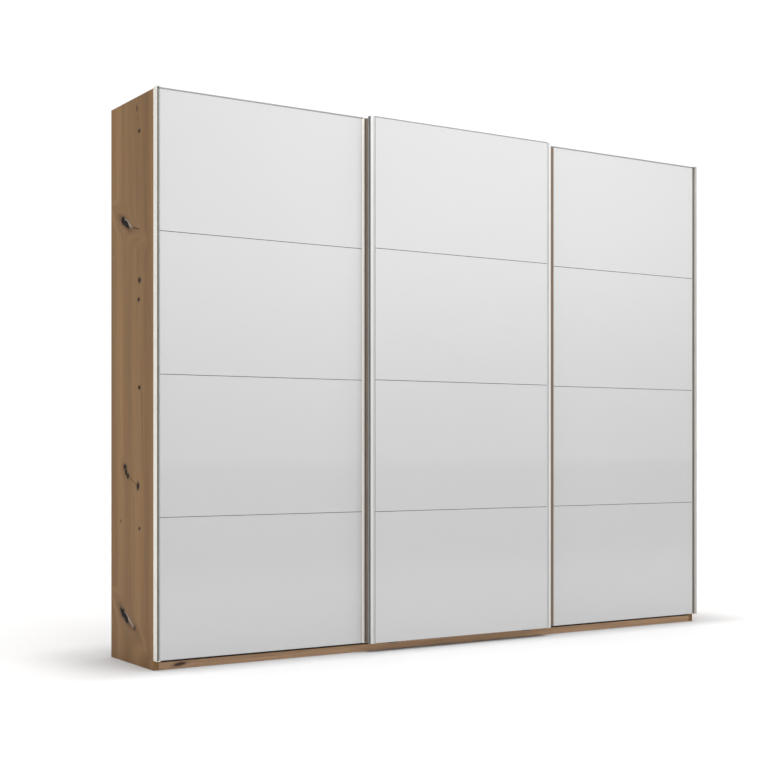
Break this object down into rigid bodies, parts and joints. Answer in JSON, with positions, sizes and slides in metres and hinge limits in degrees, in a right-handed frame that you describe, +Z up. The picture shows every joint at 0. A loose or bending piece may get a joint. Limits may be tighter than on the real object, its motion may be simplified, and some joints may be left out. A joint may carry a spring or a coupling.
{
  "type": "sliding door wardrobe",
  "caption": "Wide free-standing wardrobe in knotty oak decor with overlay sliding doors faced in white gloss glass panes, running on a top track and a bottom guide rail",
  "frame": {"origin": "centre of the bounding box's base, on the floor", "axes": "+X to the right along the front, +Y to the back, +Z up; the doors face -Y"},
  "size_m": [2.71, 0.456, 2.118],
  "materials": {
    "oak_board": "matt oak foil with knots and cracks",
    "back_board": "plain painted hardboard",
    "support_foot": "black painted block",
    "door_board": "light melamine",
    "white_glass": "high gloss, white lacquer behind",
    "profile": "white powder coat outside, taupe in the recesses",
    "aluminium_track": "anodised",
    "steel": "zinc plated",
    "guide_rail": "matt black",
    "nylon": "matt black nylon"
  },
  "bodies": {
    "carcass": {"left_side_panel": "oak_board", "right_side_panel": "oak_board", "left_divider": "oak_board", "right_divider": "oak_board", "top_board": "oak_board", "bottom_board": "oak_board", "front_plinth": "oak_board", "left_support_foot": "support_foot", "right_support_foot": "support_foot", "back_panel_left": "back_board", "back_panel_centre": "back_board", "back_panel_right": "back_board", "hat_shelf_left": "oak_board", "hat_shelf_right": "oak_board", "hanging_rail_left": "steel", "hanging_rail_right": "steel", "lower_centre_shelf": "oak_board", "middle_centre_shelf": "oak_board", "upper_centre_shelf": "oak_board", "top_track": "aluminium_track", "bottom_guide_rail": "guide_rail"},
    "left_door": {"left_door_board": "door_board", "left_door_glass_1": "white_glass", "left_door_glass_2": "white_glass", "left_door_glass_3": "white_glass", "left_door_glass_4": "white_glass", "left_door_left_stile": "profile", "left_door_right_stile": "profile", "left_door_left_hanger": "steel", "left_door_right_hanger": "steel"},
    "left_door_left_wheel": {"left_door_left_wheel": "nylon"},
    "left_door_left_guide": {"left_door_left_guide": "nylon"},
    "left_door_right_wheel": {"left_door_right_wheel": "nylon"},
    "left_door_right_guide": {"left_door_right_guide": "nylon"},
    "centre_door": {"centre_door_board": "door_board", "centre_door_glass_1": "white_glass", "centre_door_glass_2": "white_glass", "centre_door_glass_3": "white_glass", "centre_door_glass_4": "white_glass", "centre_door_left_stile": "profile", "centre_door_right_stile": "profile", "centre_door_left_hanger": "steel", "centre_door_right_hanger": "steel", "centre_door_left_guide": "nylon", "centre_door_right_guide": "nylon"},
    "centre_door_left_wheel": {"centre_door_left_wheel": "nylon"},
    "centre_door_right_wheel": {"centre_door_right_wheel": "nylon"},
    "right_door": {"right_door_board": "door_board", "right_door_glass_1": "white_glass", "right_door_glass_2": "white_glass", "right_door_glass_3": "white_glass", "right_door_glass_4": "white_glass", "right_door_left_stile": "profile", "right_door_right_stile": "profile", "right_door_left_hanger": "steel", "right_door_right_hanger": "steel"},
    "right_door_left_wheel": {"right_door_left_wheel": "nylon"},
    "right_door_left_guide": {"right_door_left_guide": "nylon"},
    "right_door_right_wheel": {"right_door_right_wheel": "nylon"},
    "right_door_right_guide": {"right_door_right_guide": "nylon"}
  },
  "joints": [
    {"name": "left_door_slide", "type": "slide", "parent": "carcass", "child": "left_door", "axis": [1, 0, 0], "range_m": [0, 0.89]},
    {"name": "left_door_left_wheel_spin", "type": "hinge", "parent": "left_door", "child": "left_door_left_wheel", "pos_m": [-1.235, -0.1465, 2.0808], "axis": [0, 1, 0], "continuous": true},
    {"name": "left_door_left_guide_lift", "type": "slide", "parent": "left_door", "child": "left_door_left_guide", "axis": [0, 0, 1], "range_m": [0, 0.008]},
    {"name": "left_door_right_wheel_spin", "type": "hinge", "parent": "left_door", "child": "left_door_right_wheel", "pos_m": [-0.569, -0.1465, 2.0808], "axis": [0, 1, 0], "continuous": true},
    {"name": "left_door_right_guide_lift", "type": "slide", "parent": "left_door", "child": "left_door_right_guide", "axis": [0, 0, 1], "range_m": [0, 0.008]},
    {"name": "centre_door_slide", "type": "slide", "parent": "carcass", "child": "centre_door", "axis": [1, 0, 0], "range_m": [-0.89, 0.89]},
    {"name": "centre_door_left_wheel_spin", "type": "hinge", "parent": "centre_door", "child": "centre_door_left_wheel", "pos_m": [-0.337, -0.106, 2.0808], "axis": [0, 1, 0], "continuous": true},
    {"name": "centre_door_right_wheel_spin", "type": "hinge", "parent": "centre_door", "child": "centre_door_right_wheel", "pos_m": [0.337, -0.106, 2.0808], "axis": [0, 1, 0], "continuous": true},
    {"name": "right_door_slide", "type": "slide", "parent": "carcass", "child": "right_door", "axis": [1, 0, 0], "range_m": [-0.89, 0]},
    {"name": "right_door_left_wheel_spin", "type": "hinge", "parent": "right_door", "child": "right_door_left_wheel", "pos_m": [0.569, -0.1465, 2.0808], "axis": [0, 1, 0], "continuous": true},
    {"name": "right_door_left_guide_lift", "type": "slide", "parent": "right_door", "child": "right_door_left_guide", "axis": [0, 0, 1], "range_m": [0, 0.008]},
    {"name": "right_door_right_wheel_spin", "type": "hinge", "parent": "right_door", "child": "right_door_right_wheel", "pos_m": [1.235, -0.1465, 2.0808], "axis": [0, 1, 0], "continuous": true},
    {"name": "right_door_right_guide_lift", "type": "slide", "parent": "right_door", "child": "right_door_right_guide", "axis": [0, 0, 1], "range_m": [0, 0.008]}
  ],
  "couplings": [
    {"joint": "left_door_left_wheel_spin", "follows": "left_door_slide", "rad_per_m": 90.909},
    {"joint": "left_door_right_wheel_spin", "follows": "left_door_slide", "rad_per_m": 90.909},
    {"joint": "centre_door_left_wheel_spin", "follows": "centre_door_slide", "rad_per_m": 90.909},
    {"joint": "centre_door_right_wheel_spin", "follows": "centre_door_slide", "rad_per_m": 90.909},
    {"joint": "right_door_left_wheel_spin", "follows": "right_door_slide", "rad_per_m": 90.909},
    {"joint": "right_door_right_wheel_spin", "follows": "right_door_slide", "rad_per_m": 90.909}
  ]
}
